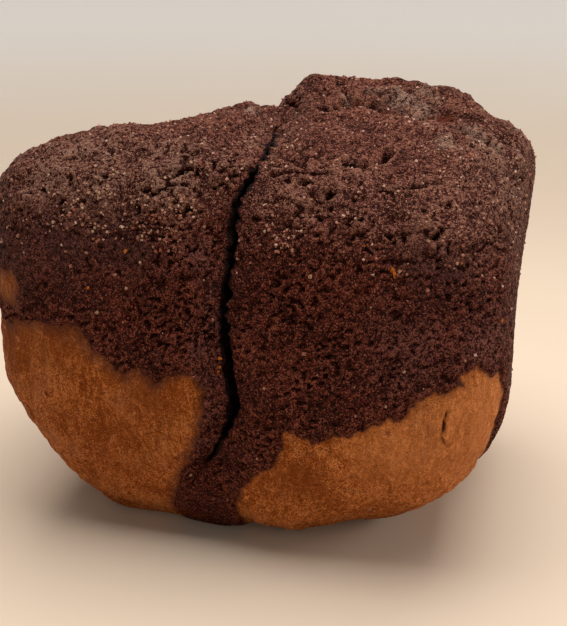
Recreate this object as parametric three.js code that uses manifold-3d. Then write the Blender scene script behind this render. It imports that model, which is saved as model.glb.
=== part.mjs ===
// A melon bread loaf: two balls of dough covered with cocoa cookie dough, set side by side in a
// rectangular tin and baked into one piece. Millimetres, +Z up. The origin is on the surface that the
// loaf stands on, under the middle of its box. The long side of the tin runs along X, and the side
// with the open seam faces -Y.

import * as THREE from 'three';
import { mergeVertices } from 'three/addons/utils/BufferGeometryUtils.js';
import Module from 'manifold-3d';

const wasm = await Module();
wasm.setup();

// ---------------------------------------------------------------- driving dimensions

// How finely a ball is divided, around its plan and from its foot to its crown.
const SEGMENTS = 52;
const RINGS = 34;
const WELD_DISTANCE = 1e-4;

// How far above and below its middle a ball's side takes to turn into its crown, and how far below
// it takes to turn into its foot, as shares of the way to its poles.
const CROWN_BLEND = 0.125;
const FOOT_BLEND = 0.4;

// Each ball is a squared ellipsoid with its own reach on every side of its centre. A squareness of 2
// is a true ellipsoid, and a higher one fills the corners of the tin. Under 2, the foot tucks in. The
// crown's slope is its rise for each millimetre along X and Y, and the flare is how much wider the
// ball is one flare height further up.
const FLARE_HEIGHT = 100;

const LEFT_BALL = {
  centre: new THREE.Vector3(-28.5, -3, 54.3),
  reach: { left: 45.7, right: 48.4, front: 54.8, back: 55.7, down: 66, up: 64 },
  planSquareness: { wall: 3.9, foot: 3.3 },
  crownSquareness: { left: 5.1, right: 2.8, front: 3.6, back: 3.5 },
  footSquareness: { left: 1.6, right: 3.7, front: 2.1, back: 2.8 },
  crownSlope: { x: 0.16, y: -0.14 },
  flare: 0.1,
};

const RIGHT_BALL = {
  centre: new THREE.Vector3(31.4, -5.6, 58),
  reach: { left: 42.7, right: 44.5, front: 53.3, back: 63, down: 60.6, up: 63.5 },
  planSquareness: { wall: 4.8, foot: 3.9 },
  crownSquareness: { left: 2.5, right: 5.1, front: 5.1, back: 4.2 },
  footSquareness: { left: 4.2, right: 1.6, front: 2.3, back: 2.8 },
  crownSlope: { x: -0.12, y: 0.12 },
  flare: -0.03,
};

// Places where the risen dough swells out of a ball's even shape, or sinks below it.
const LEFT_SWELLS = [
  { at: new THREE.Vector3(-8, 12, 119), spread: 15, rise: 4.5 },
  { at: new THREE.Vector3(-32, -8, 118), spread: 14, rise: -0.8 },
  { at: new THREE.Vector3(-56, -22, 114), spread: 16, rise: 0.9 },
  { at: new THREE.Vector3(-68, -43, 88), spread: 20, rise: -1.5 },
  { at: new THREE.Vector3(-65, -46, 50), spread: 14, rise: 1.5 },
  { at: new THREE.Vector3(-24, -38, 4), spread: 16, rise: -2 },
];

const RIGHT_SWELLS = [
  { at: new THREE.Vector3(14, 24, 124), spread: 13, rise: 3.3 },
  { at: new THREE.Vector3(36, 36, 125), spread: 16, rise: 4.4 },
  { at: new THREE.Vector3(62, 32, 120), spread: 13, rise: -2.5 },
  { at: new THREE.Vector3(76, 14, 108), spread: 22, rise: 5.5 },
  { at: new THREE.Vector3(46, -40, 10), spread: 22, rise: -4.8 },
  { at: new THREE.Vector3(16, -46, 6), spread: 14, rise: 2.3 },
];

// The seam between the balls, from low on the front, over the crown, to low on the back.
const SEAM_ROUTE = [
  [-12, -51, 21],
  [-5, -53, 32],
  [3.5, -57, 50],
  [4, -57.5, 60],
  [1, -56.5, 75],
  [3, -55.5, 92],
  [5, -51.5, 107],
  [8, -38, 117.5],
  [6, -16, 118],
  [3, 12, 118.5],
  [1, 34, 113],
  [-3, 49, 98],
  [-4, 52, 70],
  [-3, 49, 40],
];
const SEAM_STEPS = 44;
const SEAM_DEPTH = 15;
const SEAM_BOTTOM = 0.4;
const SEAM_GAP = 2.4;
const SEAM_MOUTH = 5;
const SEAM_MOUTH_DEPTH = 2.5;
const SEAM_CLEARANCE = 4;

// The block that is cut off below the surface the loaf stands on.
const GROUND_WIDTH = 400;
const GROUND_DEPTH = 100;

const COCOA_BROWN = 0x4a2a20;

// ---------------------------------------------------------------- joining and cutting

function toSolid(geometry) {
  const bare = geometry.clone();
  bare.deleteAttribute('normal');
  bare.deleteAttribute('uv');
  const merged = mergeVertices(bare, WELD_DISTANCE);
  const vertProperties = new Float32Array(merged.attributes.position.array);
  const triVerts = new Uint32Array(merged.index.array);
  return new wasm.Manifold(new wasm.Mesh({ numProp: 3, vertProperties, triVerts }));
}

function toGeometry(solid) {
  const mesh = solid.getMesh();
  const geometry = new THREE.BufferGeometry();
  geometry.setAttribute('position', new THREE.BufferAttribute(new Float32Array(mesh.vertProperties), 3));
  geometry.setIndex(new THREE.BufferAttribute(new Uint32Array(mesh.triVerts), 1));
  geometry.computeVertexNormals();
  return geometry;
}

// ---------------------------------------------------------------- balls of dough

// Blends a ball's side values for a direction, by how far the direction turns towards each side.
function sideValue(values, direction) {
  const along = direction.x ** 2;
  const across = direction.y ** 2;
  const endValue = direction.x < 0 ? values.left : values.right;
  const faceValue = direction.y < 0 ? values.front : values.back;
  return along + across > 0 ? (along * endValue + across * faceValue) / (along + across) : endValue;
}

// Squareness in plan and in profile for a direction from the centre of a ball.
function squareness(ball, direction) {
  const footness = THREE.MathUtils.smoothstep(-direction.z, 0, FOOT_BLEND);
  const crownness = THREE.MathUtils.smoothstep(direction.z, -CROWN_BLEND, CROWN_BLEND);
  const foot = sideValue(ball.footSquareness, direction);
  const crown = sideValue(ball.crownSquareness, direction);
  return {
    plan: THREE.MathUtils.lerp(ball.planSquareness.wall, ball.planSquareness.foot, footness),
    profile: THREE.MathUtils.lerp(foot, crown, crownness),
  };
}

// The point where a direction from the centre of a ball meets its even surface.
function surfacePoint(ball, direction) {
  const { reach } = ball;
  const { plan, profile } = squareness(ball, direction);
  const x = Math.abs(direction.x) / (direction.x < 0 ? reach.left : reach.right);
  const y = Math.abs(direction.y) / (direction.y < 0 ? reach.front : reach.back);
  const z = Math.abs(direction.z) / (direction.z < 0 ? reach.down : reach.up);
  const inPlan = (x ** plan + y ** plan) ** (profile / plan);
  const point = direction.clone().multiplyScalar((inPlan + z ** profile) ** (-1 / profile));

  const widening = 1 + (ball.flare * point.z) / FLARE_HEIGHT;
  point.x *= widening;
  point.y *= widening;
  const crownness = THREE.MathUtils.smoothstep(point.z / reach.up, 0, 1);
  point.z += crownness * (ball.crownSlope.x * point.x + ball.crownSlope.y * point.y);
  return point.add(ball.centre);
}

function applySwells(point, ball, swells) {
  const outward = point.clone().sub(ball.centre).normalize();
  let rise = 0;
  for (const swell of swells) {
    rise += swell.rise * Math.exp(-((point.distanceTo(swell.at) / swell.spread) ** 2));
  }
  point.addScaledVector(outward, rise);
}

function doughBall(ball, swells) {
  const geometry = new THREE.SphereGeometry(1, SEGMENTS, RINGS);
  geometry.rotateX(Math.PI / 2);
  const positions = geometry.attributes.position;
  const direction = new THREE.Vector3();
  for (let i = 0; i < positions.count; i += 1) {
    direction.fromBufferAttribute(positions, i).normalize();
    const point = surfacePoint(ball, direction);
    applySwells(point, ball, swells);
    positions.setXYZ(i, point.x, point.y, point.z);
  }
  return toSolid(geometry);
}

// ---------------------------------------------------------------- seam and foot

// The seam is a narrow slit under a wide rounded mouth, swept along the route between the balls.
function seamCut() {
  const section = new THREE.Shape();
  section.moveTo(-SEAM_DEPTH, -SEAM_BOTTOM / 2);
  section.lineTo(-SEAM_MOUTH_DEPTH, -SEAM_GAP / 2);
  section.lineTo(0, -SEAM_MOUTH / 2);
  section.lineTo(SEAM_CLEARANCE, -SEAM_MOUTH);
  section.lineTo(SEAM_CLEARANCE, SEAM_MOUTH);
  section.lineTo(0, SEAM_MOUTH / 2);
  section.lineTo(-SEAM_MOUTH_DEPTH, SEAM_GAP / 2);
  section.lineTo(-SEAM_DEPTH, SEAM_BOTTOM / 2);
  section.closePath();

  const route = new THREE.CatmullRomCurve3(SEAM_ROUTE.map((point) => new THREE.Vector3(...point)));
  return toSolid(new THREE.ExtrudeGeometry(section, { steps: SEAM_STEPS, extrudePath: route }));
}

// Everything below the surface that the loaf stands on, which leaves a flat foot.
function belowGround() {
  const slab = new THREE.BoxGeometry(GROUND_WIDTH, GROUND_WIDTH, GROUND_DEPTH);
  slab.translate(0, 0, -GROUND_DEPTH / 2);
  return toSolid(slab);
}

// ---------------------------------------------------------------- the loaf

function buildLoaf() {
  const balls = doughBall(LEFT_BALL, LEFT_SWELLS).add(doughBall(RIGHT_BALL, RIGHT_SWELLS));
  const baked = balls.subtract(seamCut()).subtract(belowGround());
  const geometry = toGeometry(baked);

  const material = new THREE.MeshStandardMaterial({ color: COCOA_BROWN, roughness: 0.85, metalness: 0 });
  const loaf = new THREE.Mesh(geometry, material);
  loaf.name = 'melon_bread';

  geometry.computeBoundingBox();
  const middle = geometry.boundingBox.getCenter(new THREE.Vector3());
  loaf.position.set(-middle.x, -middle.y, 0);
  return loaf;
}

const group = new THREE.Group();
group.add(buildLoaf());

export default group;
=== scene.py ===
"""A melon bread loaf: two balls of dough under cocoa cookie dough, baked in one tin."""

import math
from itertools import combinations

import bpy
import numpy as np
from bpy.props import FloatProperty, FloatVectorProperty, IntProperty, PointerProperty
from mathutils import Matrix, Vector, noise
from mathutils.bvhtree import BVHTree


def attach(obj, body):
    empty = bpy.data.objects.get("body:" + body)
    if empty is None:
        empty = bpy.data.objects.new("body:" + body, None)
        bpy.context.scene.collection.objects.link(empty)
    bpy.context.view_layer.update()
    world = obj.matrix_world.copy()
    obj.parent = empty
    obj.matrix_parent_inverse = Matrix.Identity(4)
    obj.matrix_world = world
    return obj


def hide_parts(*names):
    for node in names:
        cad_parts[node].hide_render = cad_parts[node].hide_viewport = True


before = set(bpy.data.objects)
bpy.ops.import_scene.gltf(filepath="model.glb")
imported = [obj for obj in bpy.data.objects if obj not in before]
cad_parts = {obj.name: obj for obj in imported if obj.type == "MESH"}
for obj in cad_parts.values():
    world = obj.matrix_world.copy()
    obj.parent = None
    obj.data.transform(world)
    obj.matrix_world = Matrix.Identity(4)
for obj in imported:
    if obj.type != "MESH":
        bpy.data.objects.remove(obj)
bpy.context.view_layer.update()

bl_info = {
    "name": "Melon Bread Loaf",
    "version": (1, 0, 0),
    "blender": (4, 5, 0),
    "location": "View3D > Sidebar > Melon Bread",
    "description": "Builds a two-ball cocoa melon bread loaf around its packed solid",
    "category": "Object",
}

NODE = "melon_bread"
MM = 0.001

# ---- places on the loaf, in millimetres

# Where the cookie dough stops and the bread shows, unrolled around the loaf: degrees from +X
# towards +Y, and height. Each outline runs from the front seam round to the back one.
LEFT_BARE = (
    (-121, -8), (-121, 4), (-117, 9), (-112, 15), (-104.5, 28), (-101, 34), (-98, 41), (-95.5, 49),
    (-95, 54), (-97.5, 59), (-100, 60.5), (-106.5, 59), (-109, 56.5), (-111.5, 61), (-113.5, 60),
    (-115.5, 58), (-118.5, 60), (-119, 63), (-122, 64), (-124, 70.5), (-132, 71), (-137, 70),
    (-142, 68), (-144.5, 72), (-150, 76), (-158, 68), (-166, 60), (-172, 63), (-180, 70), (-188, 66),
    (-196, 58), (-204, 60), (-212, 68), (-220, 64), (-228, 55), (-236, 52), (-244, 56), (-251, 48),
    (-256, 38), (-258, 26), (-262, 14), (-264, 4), (-264, -8),
)
RIGHT_BARE = (
    (-91, -8), (-91.5, 4), (-92, 10), (-89, 19), (-85, 26), (-82.5, 29.5), (-78.5, 32.5), (-75.5, 37),
    (-74, 41), (-74, 45.5), (-73, 47), (-71, 46), (-69.5, 44.5), (-66.5, 43.5), (-62, 46.5), (-56, 49),
    (-55, 51.5), (-53, 53), (-50.5, 54), (-48.5, 58), (-45, 62), (-41.5, 63.5), (-41, 66), (-38.5, 68.5),
    (-37, 65.5), (-34.5, 63.5), (-32, 64.5), (-30.5, 60), (-29, 48), (-26.5, 36), (-22, 28), (-12, 24),
    (-5, 32), (3, 44), (10, 40), (18, 36), (26, 46), (34, 58), (42, 62), (50, 55), (58, 48), (66, 50),
    (73, 42), (78, 32), (82, 20), (84, 8), (84, -8),
)
BARE_PATCH = ((-146, 83), (-139, 84), (-136, 80), (-137.5, 75), (-142, 72.5), (-148, 76))
# How the outlines waver, as layers of noise with their heights, sizes and salts: sideways and up.
EDGE_WANDER = (((1.3, 4.2, 3), (0.7, 1.5, 4)), ((1.5, 4.0, 5), (0.8, 1.4, 6)))
UNROLLED_RADIUS = 65.0
BACK_SEAM_DEGREES = 92.0

# Tears and folds: how far the surface rises or sinks, how wide, and the line that each follows.
CROWN_TEAR = (
    (30, -38.4, 115.4), (33.5, -38.8, 115.5), (36, -37.2, 116), (37.4, -34, 116.6), (38.3, -31, 117.2),
    (38.4, -28, 117.8),
)
TEARS = (
    (-4.2, 1.3, CROWN_TEAR),
    (-1.8, 0.9, ((46, -43.5, 111.8), (50, -42, 111.5), (53, -39, 112.5))),
    (-1.4, 0.7, ((10.5, -45.5, 113), (18, -44, 114.5), (26, -43.5, 114))),
    (-1.3, 0.6, ((-60, -44, 104), (-52, -47, 107), (-45, -46, 108.5))),
    (-1.5, 0.7, ((-34, -50, 108), (-27, -49.5, 109.5), (-20, -50.5, 107))),
    (-1.2, 0.6, ((20, 50, 112), (30, 52, 110), (41, 51, 111))),
    (-1.4, 0.7, ((-50, 44, 106), (-38, 46, 105), (-30, 45, 107))),
    (-1.3, 0.6, ((74, -20, 100), (75.5, -8, 101), (76, 2, 99))),
)
# Thin slits, painted dark in the material as shade inside them: how open, how wide, and the line that each
# follows.
SLITS = (
    (1.0, 0.36, ((59.5, -56.5, 57), (58.5, -56, 48.5), (60, -54.5, 44.5))),
    (1.3, 1.0, CROWN_TEAR),
    (0.7, 0.9, ((-52.3, -55.3, 49.8), (-51.7, -55.5, 48.6))),
)
TEAR_WANDER, SLIT_WANDER, FOLD_WANDER, BEND_SIZE = 0.7, 0.35, 1.6, 3.0
SLIT_DEPTH = 1.1
FOLDS = (
    (-4.2, 2.4, ((16, 6, 124), (20, 8, 124.5), (23, 11, 125), (28, 10, 124), (32, 8, 123), (39, 5, 122),
                 (46, 3, 121), (51, 1, 120), (56, 0, 119.5), (62, -2, 117.5), (67, -4, 113.5))),
    (1.2, 3.4, ((18, -3, 123), (30, -2, 122.5), (40, -6, 121), (50, -9, 119), (60, -13, 117))),
    (2.6, 2.6, ((24, 17, 126), (32, 17, 125), (40, 16, 123.5), (50, 13, 121.5), (60, 9, 119.5))),
    (-2.6, 1.9, ((22, 21, 127), (32, 24, 126.5), (38, 25, 125.5), (46, 26, 124.5), (56, 21, 121))),
    (1.6, 3.0, ((20, 28, 128), (30, 31, 127.5), (40, 33, 126), (50, 32, 123), (60, 24, 120.5))),
    (-3.0, 1.3, ((15, 27, 128.5), (18, 20, 127.7), (20.5, 15, 126.5), (20.5, 9, 125))),
    (-1.6, 0.9, ((5, 14, 123), (9, 17, 125.5), (13, 14.5, 126.5), (16, 18, 127))),
    (-2.6, 2.2, ((-8, -30, 123), (-7, -16, 122), (-5, -9, 121), (-1, -15, 120))),
    (-1.4, 1.3, ((-60, 10, 112), (-48, 16, 116), (-36, 14, 118), (-24, 20, 118))),
    (1.2, 2.6, ((-58, 16, 112), (-46, 22, 116), (-34, 20, 118), (-22, 26, 118))),
)
# Holes and pits, as x, y, z and radius. The holes are painted redder, and darker as painted shade.
HOLES = (
    (12.9, 14.8, 126.4, 1.6), (22.6, 11, 125, 2.0), (31.8, 9.6, 123.4, 2.8), (33, 25, 126.3, 2.4),
    (50.2, 8.6, 121.4, 2.8), (45.5, 8, 122, 1.8), (56.5, 1.7, 119.6, 1.6), (-3, -13, 120.5, 2.6),
    (-7, -3.5, 121, 2.0), (-33, -33, 120, 2.2),
)
PITS = (
    (17.7, -42.1, 115.5, 1.5), (20, -47, 112.5, 1.2), (20.4, -19.6, 120.8, 0.9), (30.3, -12.5, 120.6, 1.0),
    (38.9, -18.2, 118.9, 0.9), (47.3, -15.4, 118.2, 0.8), (54.5, -10.9, 117.7, 0.9), (27, -49, 110, 1.0),
    (-11.6, -50.3, 113.7, 0.9), (-10, -50.3, 113.6, 0.8), (-7.8, -50.2, 113.1, 0.8),
    (-3.9, -48.3, 114.4, 0.8), (0.5, -45.2, 115.8, 0.9), (-12.4, -53.1, 109.1, 0.9),
    (-20.2, -53.2, 108.7, 1.2), (-18.5, -53.4, 108, 0.9), (-9.1, -54.6, 103.9, 0.9), (-22.7, -55, 103.8, 0.8),
    (-32.7, -51.1, 111.3, 0.8), (-36.4, -52.8, 107.7, 0.8), (-50.6, -51.8, 106.8, 0.9),
    (-44, -53.9, 104.9, 0.8), (46.6, -53.8, 100.8, 1.1), (42.5, -54, 100.8, 0.9), (54.8, -51.6, 102.4, 0.9),
    (25.3, -53, 104.8, 1.0), (57.5, -53.1, 98, 1.0), (33.3, -55.1, 99.5, 0.8), (-42, -26, 119, 1.1),
    (-25, 10, 119, 1.2), (-44, 8, 117, 1.1), (34, 44, 122, 1.2), (60, 40, 112, 1.1),
)
HOLE_DEPTH = 2.8
# Where the folds smooth the crumb, and how much.
FOLD_ZONE = ((24, 22, 126, 14), (42, 18, 123, 14), (58, 14, 120, 12))
FOLD_CALM = 0.55
# Flakes of bread skin in the cookie dough, as x, y, z and radius.
BREAD_BITS = (
    (44.5, -57, 93.5, 0.75), (44.9, -57, 92.4, 0.7), (44.3, -57, 91.2, 0.7), (-25.5, -57, 93, 0.6),
    (-36, -58, 82.5, 0.6), (36.6, -55, 98.5, 0.5), (36, -50, 105, 0.4), (70, -45, 78, 0.6),
    (73, -30, 84, 0.7), (20, 55, 88, 0.8), (-40, 52, 84, 0.8), (-70, 5, 86, 0.7), (-0.9, -55.5, 64, 0.5),
    (-0.8, -55.5, 62.4, 0.55), (-1.1, -55.6, 60.8, 0.45),
)
# Flour dust, gathered sugar, thin cookie dough, painted purple and pale sheen on the cookie dough, pale
# cookie dough, and where the bread's skin is paler or browner, as x, y, z and radius.
DUSTED = (
    (36, 14, 124, 4.5), (42, 11, 122.6, 4.0), (41, 4, 121.5, 3.5), (28, 17.5, 125.6, 2.5),
    (41.8, 25.4, 125, 4.0), (20, 14, 126.5, 1.6), (57.4, 1.5, 119.4, 3.0), (60.5, -1.8, 118.1, 3.5),
    (64, -4.1, 115.8, 3.5), (51.8, -14.5, 117.7, 2.6), (53, -18, 117, 2.6), (-7, 4, 121, 3.0),
)
SUGARED = (
    (51.8, -14.5, 117.7, 2.2), (54.3, -20.6, 116.2, 2.4), (50.8, -23.2, 116.5, 2.0), (46, -8, 119.5, 2.0),
    (42, -4, 121, 2.0), (15, -33, 118.5, 2.2), (58, -22, 115, 2.4), (-32, -52, 106, 5), (-20, -55, 102, 5),
    (-40, -54, 102, 4), (-11, -54, 104, 3.5), (-32, -56, 98, 3), (-13, -56, 97, 2.5), (16, -54, 100, 3),
    (49, -19, 117.5, 2.0), (60, -8, 117.5, 2.5), (33, 3, 123, 2.0), (28, -40, 115.5, 2.0),
    (55, -35, 114, 2.5),
)
THIN_COOKIE = ((-18, -40, 6, 5), (-11, -42, 5, 4), (-3, -52, 20, 3))
# Painted purple sheen on the cookie dough under the crown.
PURPLE_SHEEN = (
    (-44, -57, 93, 11), (-30, -56.5, 97, 9), (-60, -52, 88, 12), (-24, -57, 92, 7), (51, -55.4, 95, 6),
    (58, -54, 93, 6), (-62, 40, 92, 12), (40, 55, 92, 10),
)
# Painted pale sheen on the cookie dough, beside the seam and on the front.
PALE_SHEEN = (
    (-4.5, -56.5, 67, 5), (-3.5, -56, 58.6, 5), (-5.3, -55.6, 49.4, 5), (-8, -54.4, 39.5, 4),
    (-1.2, -55.2, 73, 4), (-2, -56, 84, 4), (-5.5, -57, 92, 5), (50, -56, 72, 11), (66, -51, 74, 8),
    (-3, -55.5, 78, 4),
)
PALE_COOKIE = ((76, -8, 96, 26), (78, 20, 92, 26), (-42, -45, 112, 20), (-20, -50, 110, 16))
PALE_BREAD = (
    (66, -50, 52, 22), (48, -56, 44, 14), (-66, -20, 40, 16), (62, 44, 48, 18), (-40, 54, 40, 16),
    (-26, -39, 8, 5),
)
BROWN_BREAD = (
    (-60, -49, 66, 16), (-46, -57, 67, 11), (-20, -56, 52, 10), (20, -57, 30, 10), (-10, 54, 30, 16),
    (-34, -74, 34, 24),
)
# The layers kept for the material, each with its spots and how far these waver.
SPOT_LAYERS = (
    ("dusting", DUSTED, 1.6), ("thinned", THIN_COOKIE, 3.0), ("dusky", PURPLE_SHEEN, 4.0), ("oily", PALE_SHEEN, 2.5),
    ("sugared", SUGARED, 2.0),
)
# How far cookie dough soaks into the bread under its edge: places along X, and widths.
SOAKED_PLACES, SOAKED_WIDTHS = (-14, 6), (5.0, 1.1)

# The gap between the two balls: its width at each height, how much it closes on top towards the
# back, and how its walls waver and crumble, as layers of noise.
SEAM_HEIGHTS = (0, 26, 31, 36, 44, 56, 62, 72, 84, 96, 106, 112, 116.5, 130)
SEAM_WIDTHS = (0.1, 0.1, 0.6, 1.3, 2.2, 3.3, 2.2, 1.8, 1.7, 1.7, 1.6, 0.9, 0.0, -1.0)
SEAM_CLOSING = 1.5
SEAM_RAGGED = ((0.8, 6.0, 80), (1.3, 2.6, 81), (0.9, 1.5, 82))
SEAM_CRUMBLE = ((0.75, 1.6, 83), (0.9, 3.0, 84))
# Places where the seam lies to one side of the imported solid's: distance along X, radius and middle.
SEAM_SLIDES = (
    (-2.1, 9, (2, -56, 61)), (-2.4, 12, (4, -5, 119)), (-1.8, 16, (1, 18, 119)), (-1.3, 9, (5, -52, 105)),
)
# Behind the crown the balls have grown together, and the seam is shallow: y, x and z along its floor.
SHALLOW_SEAM = (
    (2, 2.5, 115.8), (8, 2, 117.6), (12, 1.8, 119.2), (15, 1.8, 121), (18, 1.8, 122.6), (22, 1.6, 123.2),
    (28, 0.8, 122.6), (34, 0, 120), (38, -0.6, 115),
)
SHALLOW_SHARE, SHALLOW_REACH, SHALLOW_ABOVE = 0.88, 3.4, 90
SHALLOW_START, SHALLOW_END = (1, 9), (42, 35)
# How far across the seam its other wall is looked for, from how far off its own wall, and how far
# from the middle along X.
SEAM_SIGHT, SIGHT_START, SEAM_REACH = 9.0, 0.1, 28.0

# How far one salt sets a noise apart from the next, and how the middle of a cell becomes a number
# that differs from cell to cell.
SALT_STEP, CELL_SALT_STEP = 17.31, 11.83
CELL_MIX, CELL_MIX_STEP = (12.9898, 78.233, 37.719), 43758.5453
# The sizes of the features of the cookie dough's and the bread's relief.
LUMP_SIZE, KNOB_SIZE, CLOD_SIZE, SAND_SIZE = 17, 6.0, 4.4, 1.2
PIT_SIZE, PORE_SIZE = (3.4, 3.4, 2.6), (1.7, 1.7, 1.2)
WRINKLE_SIZE, DIMPLE_SIZE, PIMPLE_SIZE = (2.4, 2.4, 9), 9, 1.3
# Where the cookie's and the bread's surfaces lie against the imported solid, and how far back from
# its edge the cookie dough stays thick.
COOKIE_LEVEL = -0.6
BREAD_LEVEL = -0.5
COOKIE_RIM = (2.0, 14.0)
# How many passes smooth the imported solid's flats away.
FACET_PASSES = 110
# Last swelling in the oven: height, radius and middle.
SWELLS = (
    (3.2, 6.5, (6, 26, 127.5)), (-1.2, 5, (18.5, 22, 128)), (-1.3, 6, (22, 27, 127.5)),
    (0.8, 9, (31, 34, 127.5)), (3.0, 9, (54, 34, 122.5)), (2.0, 10, (73, 19, 113)), (1.0, 8, (76, 14, 106)),
    (-1.2, 8, (-18.5, -28, 122.5)), (2.2, 9, (-68.5, -38, 107)), (-0.9, 14, (75, -6, 70)),
    (1.6, 4.5, (2.5, 31, 118)), (0.9, 4, (-35, -26, 120)),
)

# Loose bits: their random seeds, their widths as shares of the average, how deep they sit as shares
# of their width, and how dented they are.
CRUMB_SEED, CRUMB_WIDTHS, CRUMB_SINK, CRUMB_DENTS = 11, (0.6, 1.7), 0.5, 0.4
SUGAR_SEED, SUGAR_WIDTHS, SUGAR_SINK, SUGAR_DENTS = 23, (0.6, 1.6), 0.0, 0.15
BIT_SEED, BIT_SINK, BIT_DENTS = 31, 0.35, 0.35

# The studio, in metres: the round floor and how it curves up, the air, the camera (its sensor in
# millimetres), and the lamps with their width, place and colour.
SWEEP_START, SWEEP_RADIUS, SWEEP_TURN, SWEEP_STEPS, SWEEP_SIDES = 0.35, 0.7, math.radians(70), 20, 64
SEEN_AIR, AIR_TINT = 0.62, (1.0, 0.97, 0.94)
SENSOR_WIDTH, NEAREST_SEEN = 36, 0.01
LAMPS = (
    ("Key Light", "key_power", 0.6, (0.03, 0, 0.66), (1.0, 0.96, 0.92)),
    ("Fill Light", "fill_power", 0.6, (0.55, -0.7, 0.35), (1.0, 0.93, 0.86)),
    ("Side Light", "side_power", 0.4, (0.75, 0.1, 0.3), (1.0, 0.95, 0.9)),
)
LAMP_AIM = (0, 0, 0.07)

# ---- sizes, colours


def metres(name, description, default, low, high):
    return FloatProperty(
        name=name, description=description, default=default, min=low, max=high, unit="LENGTH", precision=5
    )


def millimetres(name, description, default, high):
    return FloatProperty(
        name=name, description=description + ", in millimetres", default=default, min=0, max=high
    )


class LoafSizes(bpy.types.PropertyGroup):
    surface_step: metres("Surface Step", "Spacing of the points on the crust", 0.0006, 0.0004, 0.003)
    rounding_passes: IntProperty(
        name="Rounding Passes", description="How much the packed solid's flats and lips are rounded",
        default=20, min=0, max=60,
    )
    cookie_thickness: millimetres("Cookie Thickness", "How far the cookie dough's edge stands up", 1.1, 4)
    crown_lumps: millimetres("Crown Lumps", "Height of the broad lumps on top", 1.0, 5)
    granule_height: millimetres("Granule Height", "Height of the coarse crumb", 0.55, 2)
    pit_depth: millimetres("Pit Depth", "Depth of the open pores", 1.3, 4)
    wrinkle_height: millimetres("Wrinkle Height", "Height of the bread skin's wrinkles", 0.45, 2)


class CrumbSizes(bpy.types.PropertyGroup):
    crumb_count: IntProperty(
        name="Crumbs", description="Number of cookie crumbs set into the crust",
        default=3400, min=0, max=20000,
    )
    crumb_size: metres("Crumb Size", "Radius of an average crumb", 0.00038, 0.0001, 0.004)
    sugar_count: IntProperty(
        name="Sugar Grains", description="Number of sugar grains on the crust",
        default=1900, min=0, max=20000,
    )
    sugar_size: metres("Sugar Size", "Width of an average sugar grain", 0.00044, 0.0001, 0.003)


def colour(name, description, default):
    return FloatVectorProperty(
        name=name, description=description, default=default, size=3, min=0, max=1, subtype="COLOR"
    )


def lamp_power(name, description, default):
    return FloatProperty(name=name, description=description, default=default, min=0, unit="POWER")


class CrustColours(bpy.types.PropertyGroup):
    # Darkest tone, which the material also paints into pores, hollows, slits and cracks as shade.
    cocoa_dark: colour("Cocoa Dark", "Pores and hollows of the cookie dough", (0.022, 0.0035, 0.0015))
    cocoa_mid: colour("Cocoa Middle", "Most of the cookie dough", (0.086, 0.0125, 0.0064))
    # Lightest tone, which the material also paints onto raised crumb as light.
    cocoa_light: colour("Cocoa Light", "Raised crumb of the cookie dough", (0.205, 0.057, 0.031))
    # Redder dough in the holes, darkened as painted shade.
    cocoa_red_and_shade: colour("Cocoa Red And Shade", "Moist dough inside the holes", (0.115, 0.025, 0.010))
    cocoa_glint: colour("Cocoa Glint", "Shining grains of the cookie dough", (0.380, 0.180, 0.110))
    crown_bloom: colour("Crown Bloom", "Dry, paler cookie dough on top", (0.200, 0.107, 0.074))
    bread_dark: colour("Bread Dark", "Deeply baked bread skin", (0.180, 0.037, 0.0035))
    bread_mid: colour("Bread Middle", "Most of the bread skin", (0.318, 0.079, 0.0060))
    bread_light: colour("Bread Light", "Thinly baked bread skin", (0.630, 0.225, 0.070))
    # Painted purple sheen under the crown.
    cocoa_purple_sheen: colour("Cocoa Purple Sheen", "Dusky purple cookie dough under the crown", (0.062, 0.024, 0.021))
    # Painted pale sheen beside the seam.
    cocoa_pale_sheen: colour("Cocoa Pale Sheen", "Oily, paler cookie dough beside the seam", (0.180, 0.068, 0.056))
    seam_shadow: colour("Seam Shadow", "Deep in the seam", (0.005, 0.0015, 0.001))
    stained_bread: colour("Stained Bread", "Bread skin next to the cookie dough", (0.105, 0.031, 0.017))
    flour: colour("Flour", "Dust left on the crown", (0.310, 0.200, 0.145))
    sugar: colour("Sugar", "Sugar grains", (0.330, 0.195, 0.130))


class StageSettings(bpy.types.PropertyGroup):
    azimuth: FloatProperty(
        name="Azimuth", description="Camera's turn from the front, towards +X",
        default=math.radians(13.64), subtype="ANGLE",
    )
    elevation: FloatProperty(
        name="Elevation", description="Camera's height above the level", default=math.radians(19.94),
        subtype="ANGLE",
    )
    distance: FloatProperty(
        name="Distance", description="Camera to the point it looks at", default=0.3216, unit="LENGTH",
    )
    target: FloatVectorProperty(
        name="Target", description="Point the camera looks at", default=(0.0029, 0.0007, 0.0582),
        size=3, subtype="XYZ", unit="LENGTH",
    )
    lens: FloatProperty(name="Lens", description="Focal length in millimetres", default=58.5, min=10)
    key_power: lamp_power("Key Light", "Power of the main light", 7.2)
    fill_power: lamp_power("Fill Light", "Power of the front light", 0.5)
    side_power: lamp_power("Side Light", "Power of the end light", 2.2)
    ambient: FloatProperty(name="Ambient", description="Strength of the light all round", default=0.2, min=0)
    floor: colour("Floor", "Floor paper", (0.60, 0.49, 0.38))
    wall: colour("Wall", "Backdrop paper", (0.76, 0.74, 0.71))


# ---- surface maths


def smooth_step(low, high, value):
    share = np.clip((value - low) / (high - low), 0, 1)
    return share * share * (3 - 2 * share)


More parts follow.
